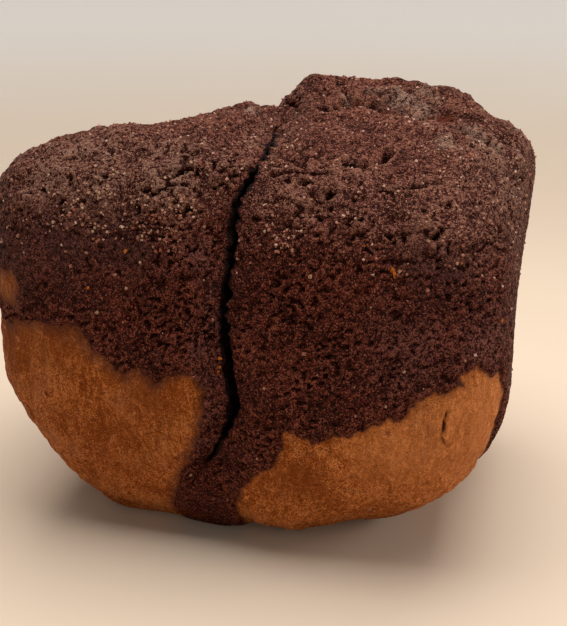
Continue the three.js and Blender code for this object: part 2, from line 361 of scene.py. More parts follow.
def soft_noise(points, size, salt):
    """Smooth noise from about -1 to 1 with features of one size, or of one for each axis.

    The salt sets one noise apart from the others.
    """
    places = (points / np.asarray(size) + salt * SALT_STEP).tolist()
    return np.fromiter((noise.noise(place) for place in places), float, len(places))


def rough_noise(points, size, octaves, salt):
    """Noise with finer noise on it."""
    return sum(
        soft_noise(points, np.asarray(size) / 2**step, salt + step) / 2**step for step in range(octaves)
    )


def layered(points, layers):
    """Layers of smooth noise added up, each with its height, size and salt."""
    return sum(height * soft_noise(points, size, salt) for height, size, salt in layers)


def cells(points, size, salt):
    """Distance from each point to the middle of its cell, and a fixed number from 0 to 1 for the cell."""
    places = (points / np.asarray(size) + salt * CELL_SALT_STEP).tolist()
    away, middle = np.empty(len(places)), np.empty((len(places), 3))
    for at, place in enumerate(places):
        distances, middles = noise.voronoi(place)
        away[at] = distances[0]
        middle[at] = middles[0]
    mixed = np.sin(middle @ np.array(CELL_MIX)) * CELL_MIX_STEP
    return away, mixed - np.floor(mixed)


def edge_distance(points, start, end):
    """Squared distance to a straight edge."""
    edge = end - start
    share = np.clip(((points - start) @ edge) / (edge @ edge), 0, 1)
    return ((points - start - share[:, None] * edge) ** 2).sum(1)


def outline_distance(points, outline):
    """Distance to a closed outline in the plane, below zero inside it."""
    corners = np.array(outline, float)
    nearest = np.full(len(points), np.inf)
    inside = np.zeros(len(points), bool)
    for start, end in zip(corners, np.roll(corners, -1, 0)):
        nearest = np.minimum(nearest, edge_distance(points, start, end))
        if start[1] != end[1]:
            crossed = (start[1] > points[:, 1]) != (end[1] > points[:, 1])
            across, up = end - start
            at = start[0] + (points[:, 1] - start[1]) * across / up
            inside ^= crossed & (points[:, 0] < at)
    return np.where(inside, -1, 1) * np.sqrt(nearest)


def line_distance(points, line):
    """Distance to a chain of straight lines in space."""
    nearest = np.full(len(points), np.inf)
    corners = np.array(line, float)
    for start, end in zip(corners[:-1], corners[1:]):
        nearest = np.minimum(nearest, edge_distance(points, start, end))
    return np.sqrt(nearest)


def spread(values, edges, passes):
    """Values shared out among neighbouring points, again and again."""
    count = np.bincount(edges.ravel(), minlength=len(values)).clip(1)
    for _ in range(passes):
        total = np.bincount(edges[:, 0], values[edges[:, 1]], len(values))
        total += np.bincount(edges[:, 1], values[edges[:, 0]], len(values))
        values = (values + total / count) / 2
    return values


def unrolled(points):
    """Places around the loaf laid flat, each outline's way round."""
    degrees = np.degrees(np.arctan2(points[:, 1], points[:, 0]))
    degrees = np.where(degrees > BACK_SEAM_DEGREES, degrees - 360, degrees)
    return np.stack([np.radians(degrees) * UNROLLED_RADIUS, points[:, 2]], axis=1)


def cookie_cover(points):
    """How far inside the cookie dough's edge each point is, and below zero on bare bread."""
    flat = unrolled(points)
    for axis in range(2):
        flat[:, axis] += layered(points, EDGE_WANDER[axis])
    cover = np.full(len(points), np.inf)
    for outline in (LEFT_BARE, RIGHT_BARE, BARE_PATCH):
        laid = [(math.radians(turn) * UNROLLED_RADIUS, height) for turn, height in outline]
        cover = np.minimum(cover, outline_distance(flat, laid))
    return cover


def seam_gap(points, normals, polygons):
    """Distance from each point straight across the seam to the other wall."""
    tree = BVHTree.FromPolygons(points.tolist(), polygons)
    gap = np.full(len(points), SEAM_SIGHT)
    near = np.flatnonzero(np.abs(points[:, 0]) < SEAM_REACH)
    for at in near:
        way = Vector(normals[at])
        met, _, _, far = tree.ray_cast(Vector(points[at]) + way * SIGHT_START, way, SEAM_SIGHT)
        if met is not None:
            gap[at] = far + SIGHT_START
    return gap


def read_points(mesh):
    points = np.empty(len(mesh.vertices) * 3)
    normals = np.empty(len(mesh.vertices) * 3)
    edges = np.empty(len(mesh.edges) * 2, np.int32)
    mesh.vertices.foreach_get("co", points)
    mesh.vertices.foreach_get("normal", normals)
    mesh.edges.foreach_get("vertices", edges)
    return points.reshape(-1, 3) / MM, normals.reshape(-1, 3), edges.reshape(-1, 2)


# ---- the loaf


def new_object(name, data):
    made = bpy.data.objects.new(name, data)
    bpy.context.scene.collection.objects.link(made)
    return made


def new_mesh(name, corners, faces, smooth):
    mesh = bpy.data.meshes.new(name)
    mesh.from_pydata(corners, [], faces)
    if smooth:
        mesh.shade_smooth()
    mesh.update()
    return mesh


def rounded_solid(sizes):
    """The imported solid's surface as a fine, even mesh with its flats and lips rounded."""
    loaf = new_object("loaf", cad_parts[NODE].data.copy())
    remesh = loaf.modifiers.new("Even Mesh", "REMESH")
    remesh.mode = "VOXEL"
    remesh.voxel_size = sizes.surface_step
    rounding = loaf.modifiers.new("Rounding", "SMOOTH")
    rounding.factor = 0.5
    rounding.iterations = sizes.rounding_passes
    graph = bpy.context.evaluated_depsgraph_get()
    mesh = bpy.data.meshes.new_from_object(loaf.evaluated_get(graph))
    loaf.modifiers.clear()
    loaf.data = mesh
    mesh.name = "loaf"
    mesh.materials.clear()
    for name in [layer.name for layer in mesh.uv_layers]:
        mesh.uv_layers.remove(mesh.uv_layers[name])
    return loaf


def openings(points, size, salt, start, slope):
    """Ragged pores where noise rises above a start, from 0 to 1 deep."""
    return smooth_step(start, start + slope, rough_noise(points, size, 2, salt))


def crack_depth(points, crown):
    """Short winding cracks between the clods, from 0 to 1 deep."""
    line = np.abs(soft_noise(points, (7, 7, 5), 34) + 0.25 * soft_noise(points, 2.4, 35))
    broken = smooth_step(0.0, 0.35, soft_noise(points, 8, 36)) * (0.25 + 0.75 * crown)
    return smooth_step(0.10, 0.02, line) * broken


def cookie_relief(points, sizes, crown, cracks):
    """Lumps, clods, sand and pores of the cookie dough."""
    lumps = sizes.crown_lumps * (0.3 + 0.7 * crown) * rough_noise(points, LUMP_SIZE, 2, 10)
    lumps += 1.15 * (0.15 + 0.85 * crown) * rough_noise(points, KNOB_SIZE, 2, 14)
    away, kind = cells(points, CLOD_SIZE, 20)
    shoulder = smooth_step(0.0, 0.35, crown) * (1 - 0.6 * smooth_step(0.6, 1.0, crown))
    clods = np.maximum(0, 1 - (away / 0.8) ** 2) * (0.4 + 0.8 * kind)
    clods *= 0.15 + 0.3 * crown + 0.55 * shoulder
    sand = (0.40 + 0.10 * crown) * soft_noise(points, SAND_SIZE, 22)
    gathered = smooth_step(-0.3, 0.4, soft_noise(points, 15, 24))
    pits = openings(points, PIT_SIZE, 26, 0.42 + 0.10 * crown, 0.2) * (0.5 + 0.5 * crown)
    pores = openings(points, PORE_SIZE, 30, 0.30 + 0.18 * crown, 0.14) * (0.3 + 0.7 * gathered)
    sunk = pits + 0.95 * pores + 0.8 * cracks
    return lumps + sizes.granule_height * (sand + 1.6 * clods) - sizes.pit_depth * sunk


def bread_relief(points, sizes):
    """Wrinkles drawn up and down the bread skin, and its soft dimples."""
    wrinkles = rough_noise(points, WRINKLE_SIZE, 2, 40)
    dimples = rough_noise(points, DIMPLE_SIZE, 2, 44)
    pimples = soft_noise(points, PIMPLE_SIZE, 48)
    return sizes.wrinkle_height * (wrinkles + 1.4 * dimples + 0.35 * pimples)


def mound(points, middle, radius):
    """A soft round mound, 1 high at its middle."""
    return np.exp(-((points - np.array(middle)) ** 2).sum(1) / radius**2)


def bumps(points, places):
    """Soft bumps and dips, each with its height, radius and middle."""
    return sum(height * mound(points, middle, radius) for height, radius, middle in places)


def drawn_lines(points, lines, wander):
    """Tears and folds: each sinks or rises along its line."""
    bends = [rough_noise(points, BEND_SIZE, 2, 60 + axis * 3) for axis in range(3)]
    bent = points + wander * np.stack(bends, 1)
    uneven = 1 + 0.5 * soft_noise(points, 3.5, 69)
    total = np.zeros(len(points))
    for height, width, line in lines:
        away = line_distance(bent, line)
        total += height * uneven * np.exp(-((away / width) ** 2))
    return total


def spots(points, places, wander=0.0):
    """How near each point is to the middle of a spot, from 0 to 1."""
    bent = points + wander * rough_noise(points, BEND_SIZE, 2, 70)[:, None]
    total = np.zeros(len(points))
    for *middle, radius in places:
        total = np.maximum(total, mound(bent, middle, radius))
    return total


def shallow_seam_lift(points):
    """How far the seam's floor is lifted behind the crown."""
    along, middle, floor = np.array(SHALLOW_SEAM).T
    away = np.abs(points[:, 0] - np.interp(points[:, 1], along, middle))
    low = np.interp(points[:, 1], along, floor) - points[:, 2]
    share = smooth_step(*SHALLOW_START, points[:, 1]) * smooth_step(*SHALLOW_END, points[:, 1])
    share *= smooth_step(SHALLOW_REACH + 1, SHALLOW_REACH, away) * (points[:, 2] > SHALLOW_ABOVE)
    return SHALLOW_SHARE * share * np.maximum(low, 0)


def without_facets(mesh, points, edges, gap):
    """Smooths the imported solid's flats away, except in the seam and at the foot."""
    near_seam = spread((gap < SEAM_SIGHT).astype(float), edges, 40)
    share = (1 - smooth_step(0.02, 0.2, near_seam)) * smooth_step(0, 6, points[:, 2])
    calm = np.stack([spread(points[:, axis], edges, FACET_PASSES) for axis in range(3)], 1)
    moved = points + share[:, None] * (calm - points)
    mesh.vertices.foreach_set("co", (moved * MM).ravel())
    mesh.update()
    return read_points(mesh)[:2]


def close_seam(points, gap, edges):
    """How far each point moves to leave the seam its width, and how sheltered in it the point is, which the
    material paints as seam shadow.
    """
    height = points[:, 2]
    shelter = spread(smooth_step(7.0, 3.5, gap), edges, 3)
    wanted = np.interp(height, SEAM_HEIGHTS, SEAM_WIDTHS)
    wanted = np.maximum(-1, wanted + layered(points, SEAM_RAGGED) * np.clip(wanted, 0, 1.4))
    wanted -= SEAM_CLOSING * smooth_step(-15, 5, points[:, 1]) * smooth_step(100, 110, height)
    shift = np.where(gap < SEAM_SIGHT, (gap - wanted) / 2, 0) * smooth_step(SEAM_SIGHT, 5.5, gap)
    crumbly = layered(points, SEAM_CRUMBLE) * smooth_step(SEAM_SIGHT, 5.0, gap)
    shift = spread(shift, edges, 3) + crumbly * smooth_step(28, 36, height)
    behind = smooth_step(-12, 6, points[:, 1]) * smooth_step(84, 98, height)
    return shift, shelter * (smooth_step(25, 33, height) * (1 - 0.8 * behind))


def cookie_level(points, sizes, crown, cover, cracks):
    """The cookie dough's relief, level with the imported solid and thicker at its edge."""
    cookie = cookie_relief(points, sizes, crown, cracks)
    on_crown, on_wall = crown > 0.6, crown < 0.2
    level = np.interp(crown, (0.2, 0.6), (cookie[on_wall].mean(), cookie[on_crown].mean()))
    rim = 1 - smooth_step(*COOKIE_RIM, cover)
    cookie -= FOLD_CALM * spots(points, FOLD_ZONE) * (cookie - level)
    return cookie + (COOKIE_LEVEL - level + rim * sizes.cookie_thickness)


def make_loaf(sizes):
    loaf = rounded_solid(sizes)
    mesh = loaf.data
    points, normals, edges = read_points(mesh)
    gap = seam_gap(points, normals, [tuple(face.vertices) for face in mesh.polygons])
    points, normals = without_facets(mesh, points, edges, gap)
    height = points[:, 2]
    upward = spread(normals[:, 2], edges, 12)
    crown = smooth_step(0.05, 0.6, upward) * smooth_step(70, 100, height)
    cover = cookie_cover(points)
    covered = smooth_step(-0.1, 1.1, cover)
    shift, shelter = close_seam(points, gap, edges)

    cracks = crack_depth(points, crown)
    cookie = cookie_level(points, sizes, crown, cover, cracks)
    bread = bread_relief(points, sizes) + BREAD_LEVEL
    relief = (covered * cookie + (1 - covered) * bread) * (1 - 0.35 * shelter)
    slits = drawn_lines(points, SLITS, SLIT_WANDER)
    torn = drawn_lines(points, TEARS, TEAR_WANDER) + drawn_lines(points, FOLDS, FOLD_WANDER)
    relief += torn - SLIT_DEPTH * slits
    holes = spots(points, HOLES, 1.0)
    relief -= HOLE_DEPTH * np.maximum(holes, spots(points, PITS, 1.8))
    footed = smooth_step(-1, 5, height)
    relief *= footed

    moved = points + normals * (relief + shift + bumps(points, SWELLS) * footed)[:, None]
    moved[:, 0] += bumps(points, SEAM_SLIDES)
    moved[:, 2] = np.maximum(moved[:, 2] + shallow_seam_lift(moved), 0)
    mesh.vertices.foreach_set("co", (moved * MM).ravel())

    flat_top = smooth_step(0.82, 0.98, upward)
    soaked = np.interp(points[:, 0] + 6 * soft_noise(points, 12, 86), SOAKED_PLACES, SOAKED_WIDTHS)
    layers = {
        "cover": cover,
        # Relief above or below its neighbours: the material paints its hollows darker as shade and its raised
        # crumb lighter as light.
        "relief": relief - spread(relief, edges, 14),
        # How deep in the seam: the mask of the painted seam shadow.
        "shelter": shelter,
        "crown": crown,
        "bloom": crown * (1 - 0.45 * flat_top) + 1.1 * spots(points, PALE_COOKIE, 3.0),
        # Holes, painted redder and darker as shade.
        "reddened": holes,
        # Slits and cracks, which the material paints dark as shade inside them.
        "torn": slits + 0.7 * cracks * covered,
        "stained": smooth_step(-1, 0.2, cover / soaked),
        "paleness": spots(points, PALE_BREAD, 4.0) - spots(points, BROWN_BREAD, 4.0),
    }
    for name, places, wander in SPOT_LAYERS:
        layers[name] = spots(points, places, wander)
    for name, values in layers.items():
        layer = mesh.attributes.new(name, "FLOAT", "POINT")
        layer.data.foreach_set("value", np.asarray(values, np.float32))
    mesh.shade_smooth()
    mesh.update()
    return loaf


# ---- loose bits


def ball_corners():
    """The corners and faces of a twenty-sided ball."""
    golden = (1 + 5**0.5) / 2
    corners = []
    for one in (-1, 1):
        for two in (-golden, golden):
            corners += [(0, one, two), (one, two, 0), (two, 0, one)]
    corners = np.array(corners, float)
    corners /= np.linalg.norm(corners, axis=1)[:, None]
    side = np.sort(np.linalg.norm(corners[0] - corners, axis=1))[1] * 1.01
    near = np.linalg.norm(corners[:, None] - corners[None], axis=2) < side
    faces = []
    for a, b, c in combinations(range(len(corners)), 3):
        if near[a, b] and near[b, c] and near[a, c]:
            turned = np.dot(np.cross(corners[b] - corners[a], corners[c] - corners[a]), corners[a])
            faces.append((a, b, c) if turned > 0 else (a, c, b))
    return corners, np.array(faces)


def box_corners():
    """The corners and faces of a box one unit wide."""
    corners = np.array([(x, y, z) for x in (-1, 1) for y in (-1, 1) for z in (-1, 1)], float) / 2
    faces = np.array([(0, 1, 3, 2), (4, 6, 7, 5), (0, 4, 5, 1), (2, 3, 7, 6), (0, 2, 6, 4), (1, 5, 7, 3)])
    return corners, faces


def turned_at_random(rng, count):
    """Rotation matrices, every direction as likely."""
    q = rng.normal(size=(count, 4))
    w, x, y, z = (q / np.linalg.norm(q, axis=1)[:, None]).T
    return np.stack([
        1 - 2 * (y * y + z * z), 2 * (x * y - z * w), 2 * (x * z + y * w),
        2 * (x * y + z * w), 1 - 2 * (x * x + z * z), 2 * (y * z - x * w),
        2 * (x * z - y * w), 2 * (y * z + x * w), 1 - 2 * (x * x + y * y),
    ], 1).reshape(-1, 3, 3)


def scatter(name, shape, places, widths, rng, jitter, smooth):
    """One mesh of many small bodies, each turned and dented by chance."""
    corners, faces = shape
    count = len(places)
    stretch = rng.uniform(0.7, 1.3, (count, 1, 3))
    dents = rng.uniform(1 - jitter, 1 + jitter, (count, len(corners), 1))
    bodies = corners[None] * stretch * dents * widths[:, None, None]
    bodies = np.einsum("nij,nkj->nki", turned_at_random(rng, count), bodies) + places[:, None]
    bodies[..., 2] = np.maximum(bodies[..., 2], 0)
    steps = np.arange(count)[:, None, None] * len(corners)
    all_faces = (faces[None] + steps).reshape(-1, faces.shape[1])
    return new_object(name, new_mesh(name, bodies.reshape(-1, 3).tolist(), all_faces.tolist(), smooth))


def surface_spots(loaf, count, weigh, rng):
    """Points of the loaf chosen by chance, more of them where weigh says so."""
    mesh = loaf.data
    points, normals, _ = read_points(mesh)
    layers = {}
    for name in ("cover", "relief", "shelter", "crown", "sugared"):
        layers[name] = np.empty(len(points), np.float32)
        mesh.attributes[name].data.foreach_get("value", layers[name])
    weight = weigh(points, normals, layers)
    chosen = rng.choice(len(points), count, replace=False, p=weight / weight.sum())
    return points[chosen] * MM, normals[chosen]


def made_loaf():
    loaf = bpy.data.objects.get("loaf")
    if loaf is None:
        raise RuntimeError("make the loaf first")
    return loaf


def strew(name, shape, count, size, shares, weigh, seed, sink, dents, smooth):
    """Small bodies strewn over the loaf by chance, each sunk by a share of its width."""
    rng = np.random.default_rng(seed)
    places, normals = surface_spots(made_loaf(), count, weigh, rng)
    widths = size * rng.uniform(*shares, count)
    return scatter(name, shape, places - normals * widths[:, None] * sink, widths, rng, dents, smooth)


def crumb_weight(points, normals, layers):
    weight = smooth_step(0.3, 1.5, layers["cover"]) * (0.02 + 0.98 * layers["crown"])
    clumps = smooth_step(-0.25, 0.35, soft_noise(points, 9, 90))
    return weight * (0.25 + clumps) * (layers["shelter"] < 0.3) * (points[:, 2] > 6)


def sugar_weight(points, normals, layers):
    upper = smooth_step(78, 100, points[:, 2])
    spared = 0.04 + 0.25 * upper + 0.15 * layers["crown"] + 5.0 * layers["sugared"]
    weight = smooth_step(0.0, 1.0, layers["cover"]) * spared + 0.004
    return weight * (layers["shelter"] < 0.2) * (points[:, 2] > 10) * (layers["relief"] > -0.3)


# ---- node helpers

FLOAT, COLOUR, VECTOR = "NodeSocketFloat", "NodeSocketColor", "NodeSocketVector"


def add(tree, kind, **settings):
    made = tree.nodes.new(kind)
    for name, value in settings.items():
        setattr(made, name, value)
    return made


def put(tree, socket, value):
    """Joins a socket to another, or sets its value. A colour is given as red, green and blue."""
    if isinstance(value, bpy.types.NodeSocket):
        tree.links.new(value, socket)
    else:
        socket.default_value = (*value, 1.0) if socket.type == "RGBA" else value


def fill(tree, made, **values):
    """Puts values into a node's inputs by their names, and returns its outputs."""
    for title, value in values.items():
        put(tree, made.inputs[title.replace("_", " ")], value)
    return made.outputs


def maths(tree, operation, *values, clamp=False):
    made = add(tree, "ShaderNodeMath", operation=operation, use_clamp=clamp)
    for socket, value in zip(made.inputs, values):
        put(tree, socket, value)
    return made.outputs[0]


def times(tree, first, second, clamp=False):
    return maths(tree, "MULTIPLY", first, second, clamp=clamp)


def times_plus(tree, first, second, third):
    return maths(tree, "MULTIPLY_ADD", first, second, third)


def ramp(tree, value, low, high, start=0.0, end=1.0):
    """Value from low to high becomes start to end, smoothly and no further."""
    made = add(tree, "ShaderNodeMapRange", interpolation_type="SMOOTHSTEP")
    fill(tree, made, Value=value, From_Min=low, From_Max=high, To_Min=start, To_Max=end)
    return made.outputs["Result"]


def blend(tree, share, first, second):
    made = add(tree, "ShaderNodeMix", data_type="RGBA", clamp_factor=True)
    for place, value in ((0, share), (6, first), (7, second)):
        put(tree, made.inputs[place], value)
    return made.outputs[2]


def grain(tree, vector, scale, detail=3.0, roughness=0.55):
    made = add(tree, "ShaderNodeTexNoise")
    return fill(tree, made, Vector=vector, Scale=scale, Detail=detail, Roughness=roughness)["Fac"]


def attribute(tree, name):
    return add(tree, "ShaderNodeAttribute", attribute_name=name).outputs["Fac"]


def new_group(name, inputs, outputs):
    group = bpy.data.node_groups.new(name, "ShaderNodeTree")
    for way, sockets in (("INPUT", inputs), ("OUTPUT", outputs)):
        for title, kind in sockets.items():
            group.interface.new_socket(title, in_out=way, socket_type=kind)
    return group, add(group, "NodeGroupInput").outputs, add(group, "NodeGroupOutput").inputs


def crumb_grain(name):
    """Mottling at three sizes, and the height of the finest crumb."""
    group, given, made = new_group(
        name,
        {"Vector": VECTOR, "Grains": FLOAT, "Sandiness": FLOAT},
        dict.fromkeys(("Patches", "Mottle", "Specks", "Glints", "Pores", "Height"), FLOAT),
    )
    place, grains = given["Vector"], given["Grains"]
    put(group, made["Patches"], grain(group, place, 85.0, 3.0, 0.6))
    put(group, made["Mottle"], grain(group, place, times(group, grains, 0.35), 4.0, 0.65))
    specks = grain(group, place, grains, 2.0, 0.7)
    beads = fill(group, add(group, "ShaderNodeTexVoronoi"), Vector=place, Scale=grains)
    away, kind = beads["Distance"], add(group, "ShaderNodeSeparateColor")
    put(group, kind.inputs[0], beads["Color"])
    sand = times(group, kind.outputs[1], ramp(group, away, 0.75, 0.3, 0.5, 1.15))
    put(group, made["Specks"], blend(group, given["Sandiness"], specks, sand))
    near = ramp(group, away, 0.55, 0.15)
    put(group, made["Glints"], times(group, near, ramp(group, kind.outputs[0], 0.80, 0.92)))
    pores = ramp(group, grain(group, place, times(group, grains, 0.5), 2.0, 0.6), 0.53, 0.66)
    put(group, made["Pores"], pores)
    height = times_plus(group, away, -0.8, specks)
    put(group, made["Height"], times_plus(group, pores, -1.5, height))
    return group


def baked_tint(name):
    """Dark, middle and light of one baked surface, mixed by its mottling, with painted shade in its hollows
    and pores and painted light on its raised crumb, from its relief.
    """
    levels = ("Patches", "Mottle", "Specks", "Relief", "Pores", "Contrast")
    group, given, made = new_group(
        name,
        dict.fromkeys(("Dark", "Middle", "Light"), COLOUR) | dict.fromkeys(levels, FLOAT),
        {"Colour": COLOUR, "Lightness": FLOAT},
    )
    level = times_plus(group, given["Patches"], 0.4, -1.11)
    for title, weight in (("Mottle", 0.72), ("Specks", 1.1)):
        level = times_plus(group, given[title], weight, level)
    level = times_plus(group, level, given["Contrast"], 0.68)
    # Relief paints shade into hollows and light onto raised crumb, and pores are painted darker as shade.
    for title, weight in (("Relief", 0.52), ("Pores", -0.35)):
        level = times_plus(group, given[title], weight, level)
    tint = blend(group, ramp(group, level, 0.35, 0.68), given["Dark"], given["Middle"])
    tint = blend(group, ramp(group, level, 0.70, 1.05), tint, given["Light"])
    put(group, made["Colour"], tint)
    put(group, made["Lightness"], level)
    return group


GROUPS = {"Crumb Grain": crumb_grain, "Baked Tint": baked_tint}


def use_group(tree, name, **values):
    """Adds a shared node group, made the first time it is asked for, and returns its outputs."""
    group = bpy.data.node_groups.get(name) or GROUPS[name](name)
    return fill(tree, add(tree, "ShaderNodeGroup", node_tree=group), **values)


# ---- materials


def surface_material(name, shine=0.08):
    """A material with its tree, its shader's inputs and the place on the piece."""
    material = bpy.data.materials.new(name)
    material.use_nodes = True
    tree = material.node_tree
    tree.nodes.clear()
    shader = add(tree, "ShaderNodeBsdfPrincipled")
    shader.inputs["Specular IOR Level"].default_value = shine
    put(tree, add(tree, "ShaderNodeOutputMaterial").inputs["Surface"], shader.outputs["BSDF"])
    return material, tree, shader.inputs, add(tree, "ShaderNodeTexCoord").outputs["Object"]


def paint(tree, shader, tint, roughness):
    put(tree, shader["Base Color"], tint)
    put(tree, shader["Roughness"], roughness)


def bumped(tree, shader, height, strength, distance):
    bump = fill(tree, add(tree, "ShaderNodeBump"), Strength=strength, Distance=distance, Height=height)
    put(tree, shader["Normal"], bump["Normal"])


def baked(tree, tones, mottling, **others):
    """Colour and lightness of a baked surface, from its dark, middle and light tones."""
    given = dict(zip(("Dark", "Middle", "Light"), tones))
    given |= {title: mottling[title] for title in ("Patches", "Mottle", "Specks")}
    return use_group(tree, "Baked Tint", **(given | others))


def bread_tones(colours):
    return colours.bread_dark, colours.bread_mid, colours.bread_light


def layer(tree, name, lightness, *lift):
    """How strongly a layer of the crust shows, by how light the surface is under it."""
    return times(tree, attribute(tree, name), ramp(tree, lightness, *lift))


def cocoa_colours(tree, colours, place, relief, crown):
    """Colour, lightness and mottling of the cookie dough, greyer on the crown."""
    sandiness = times_plus(tree, crown, -0.16, 0.45)
    mottling = use_group(tree, "Crumb Grain", Vector=place, Grains=2500.0, Sandiness=sandiness)
    tones = colours.cocoa_dark, colours.cocoa_mid, colours.cocoa_light
    tint = baked(tree, tones, mottling, Relief=relief, Pores=mottling["Pores"], Contrast=1.7)
    bloom = times(tree, ramp(tree, tint["Lightness"], 0.5, 0.9), crown)
    cocoa = blend(tree, times(tree, bloom, 0.64), tint["Colour"], colours.crown_bloom)
    sparkle = times(tree, mottling["Glints"], times_plus(tree, crown, 0.6, 0.4))
    return blend(tree, sparkle, cocoa, colours.cocoa_glint), tint["Lightness"], mottling


def cookie_colours(tree, colours, place, relief):
    """Colour and mottling of the cookie dough with its painted purple and pale sheen, flour, holes painted
    redder and darker as shade, and thin places.
    """
    cocoa, lightness, mottling = cocoa_colours(tree, colours, place, relief, attribute(tree, "bloom"))
    for share, tone in (
        # Painted purple sheen under the crown and painted pale sheen beside the seam, on the lighter grains.
        (layer(tree, "dusky", lightness, 0.1, 0.6, 0.1, 0.55), colours.cocoa_purple_sheen),
        (layer(tree, "oily", lightness, 0.3, 0.8, 0.0, 0.62), colours.cocoa_pale_sheen),
        (layer(tree, "dusting", lightness, 0.15, 0.75, 0.0, 0.7), colours.flour),
        # Holes painted redder, and darker as painted shade.
        (ramp(tree, attribute(tree, "reddened"), 0.3, 0.75, 0.0, 0.85), colours.cocoa_red_and_shade),
        (layer(tree, "thinned", lightness, 0.2, 0.9, 0.1, 0.75), colours.bread_dark),
    ):
        cocoa = blend(tree, share, cocoa, tone)
    return cocoa, mottling


def bread_colours(tree, colours, place, relief):
    """Colour and height of the bread skin, with its creases, blisters and stains."""
    drawn = add(tree, "ShaderNodeVectorMath", operation="MULTIPLY")
    put(tree, drawn.inputs[0], place)
    put(tree, drawn.inputs[1], (1.0, 1.0, 0.25))
    creases = grain(tree, drawn.outputs[0], 900.0, 3.0, 0.65)
    skin = use_group(tree, "Crumb Grain", Vector=place, Grains=2400.0)
    streaks = times_plus(tree, creases, 0.65, times(tree, skin["Mottle"], 0.35))
    bread = baked(tree, bread_tones(colours), skin, Mottle=streaks, Relief=relief, Contrast=2.8)["Colour"]
    paleness = attribute(tree, "paleness")
    blisters = ramp(tree, grain(tree, place, 420.0, 1.0, 0.5), 0.66, 0.78, 0.0, 0.5)
    soaked = layer(tree, "stained", skin["Mottle"], 0.35, 0.6, 0.65, 1.0)
    blotches = ramp(tree, skin["Patches"], 0.52, 0.72, 0.0, 0.28)
    for share, tone in (
        (times(tree, paleness, 0.55, clamp=True), colours.bread_light),
        (times(tree, paleness, -0.8, clamp=True), colours.bread_dark),
        (maths(tree, "MAXIMUM", times(tree, skin["Glints"], 0.35), blisters), colours.bread_light),
        (maths(tree, "MAXIMUM", soaked, blotches), colours.stained_bread),
    ):
        bread = blend(tree, share, bread, tone)
    return bread, times_plus(tree, creases, 2.2, times(tree, skin["Height"], 0.5))


def crust_material(colours):
    material, tree, shader, place = surface_material("Cocoa And Bread Crust")
    relief = attribute(tree, "relief")
    cocoa, mottling = cookie_colours(tree, colours, place, relief)
    bread, bread_height = bread_colours(tree, colours, place, relief)
    specks = mottling["Specks"]
    ragged = times_plus(tree, maths(tree, "SUBTRACT", specks, 0.5), 1.6, attribute(tree, "cover"))
    cookie = ramp(tree, ragged, -0.15, 0.25)
    # Ragged mask of the painted shadow deep in the seam.
    seam_shadow_mask = times_plus(tree, mottling["Mottle"], 1.3, times(tree, specks, 0.5))
    seam_shadow_mask = maths(tree, "ADD", attribute(tree, "shelter"), maths(tree, "SUBTRACT", seam_shadow_mask, 0.9))
    shown = blend(tree, cookie, bread, cocoa)
    # Painted shade in the slits and cracks.
    shown = blend(tree, ramp(tree, attribute(tree, "torn"), 0.2, 0.8, 0.0, 0.85), shown, colours.cocoa_dark)
    shown = blend(tree, ramp(tree, seam_shadow_mask, 0.42, 0.58, 0.0, 0.93), shown, colours.seam_shadow)
    paint(tree, shader, shown, ramp(tree, specks, 0.35, 0.75, 0.72, 0.46))
    bumped(tree, shader, blend(tree, cookie, bread_height, mottling["Height"]), strength=1.0, distance=0.0005)
    return material


def raised(tree, place, low, high):
    """How far up from one height to another a place is, from 0 to 1."""
    height = add(tree, "ShaderNodeSeparateXYZ")
    put(tree, height.inputs[0], place)
    return ramp(tree, height.outputs["Z"], low, high)


def crumb_material(colours):
    material, tree, shader, place = surface_material("Cocoa Crumbs")
    cocoa, _, mottling = cocoa_colours(tree, colours, place, 0.25, raised(tree, place, 0.085, 0.105))
    paint(tree, shader, cocoa, ramp(tree, mottling["Specks"], 0.35, 0.75, 0.70, 0.45))
    bumped(tree, shader, mottling["Height"], strength=0.5, distance=0.0003)
    return material


def sugar_material(colours):
    material, tree, shader, place = surface_material("Sugar Grains", 0.22)
    mottling = use_group(tree, "Crumb Grain", Vector=place, Grains=900.0)
    tint = blend(tree, ramp(tree, mottling["Mottle"], 0.35, 0.65), colours.cocoa_light, colours.sugar)
    paint(tree, shader, tint, ramp(tree, mottling["Specks"], 0.3, 0.7, 0.35, 0.18))
    return material


def bread_bit_material(colours):
    material, tree, shader, place = surface_material("Bread Bits")
    skin = use_group(tree, "Crumb Grain", Vector=place, Grains=1900.0)
    bread = baked(tree, bread_tones(colours), skin, Relief=0.1, Contrast=1.0)["Colour"]
    paint(tree, shader, bread, ramp(tree, skin["Specks"], 0.35, 0.75, 0.7, 0.5))
    bumped(tree, shader, skin["Height"], strength=0.4, distance=0.0003)
    return material


def finish_piece(made, material):
    made.data.materials.append(material)
    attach(made, "root")


# ---- the stage


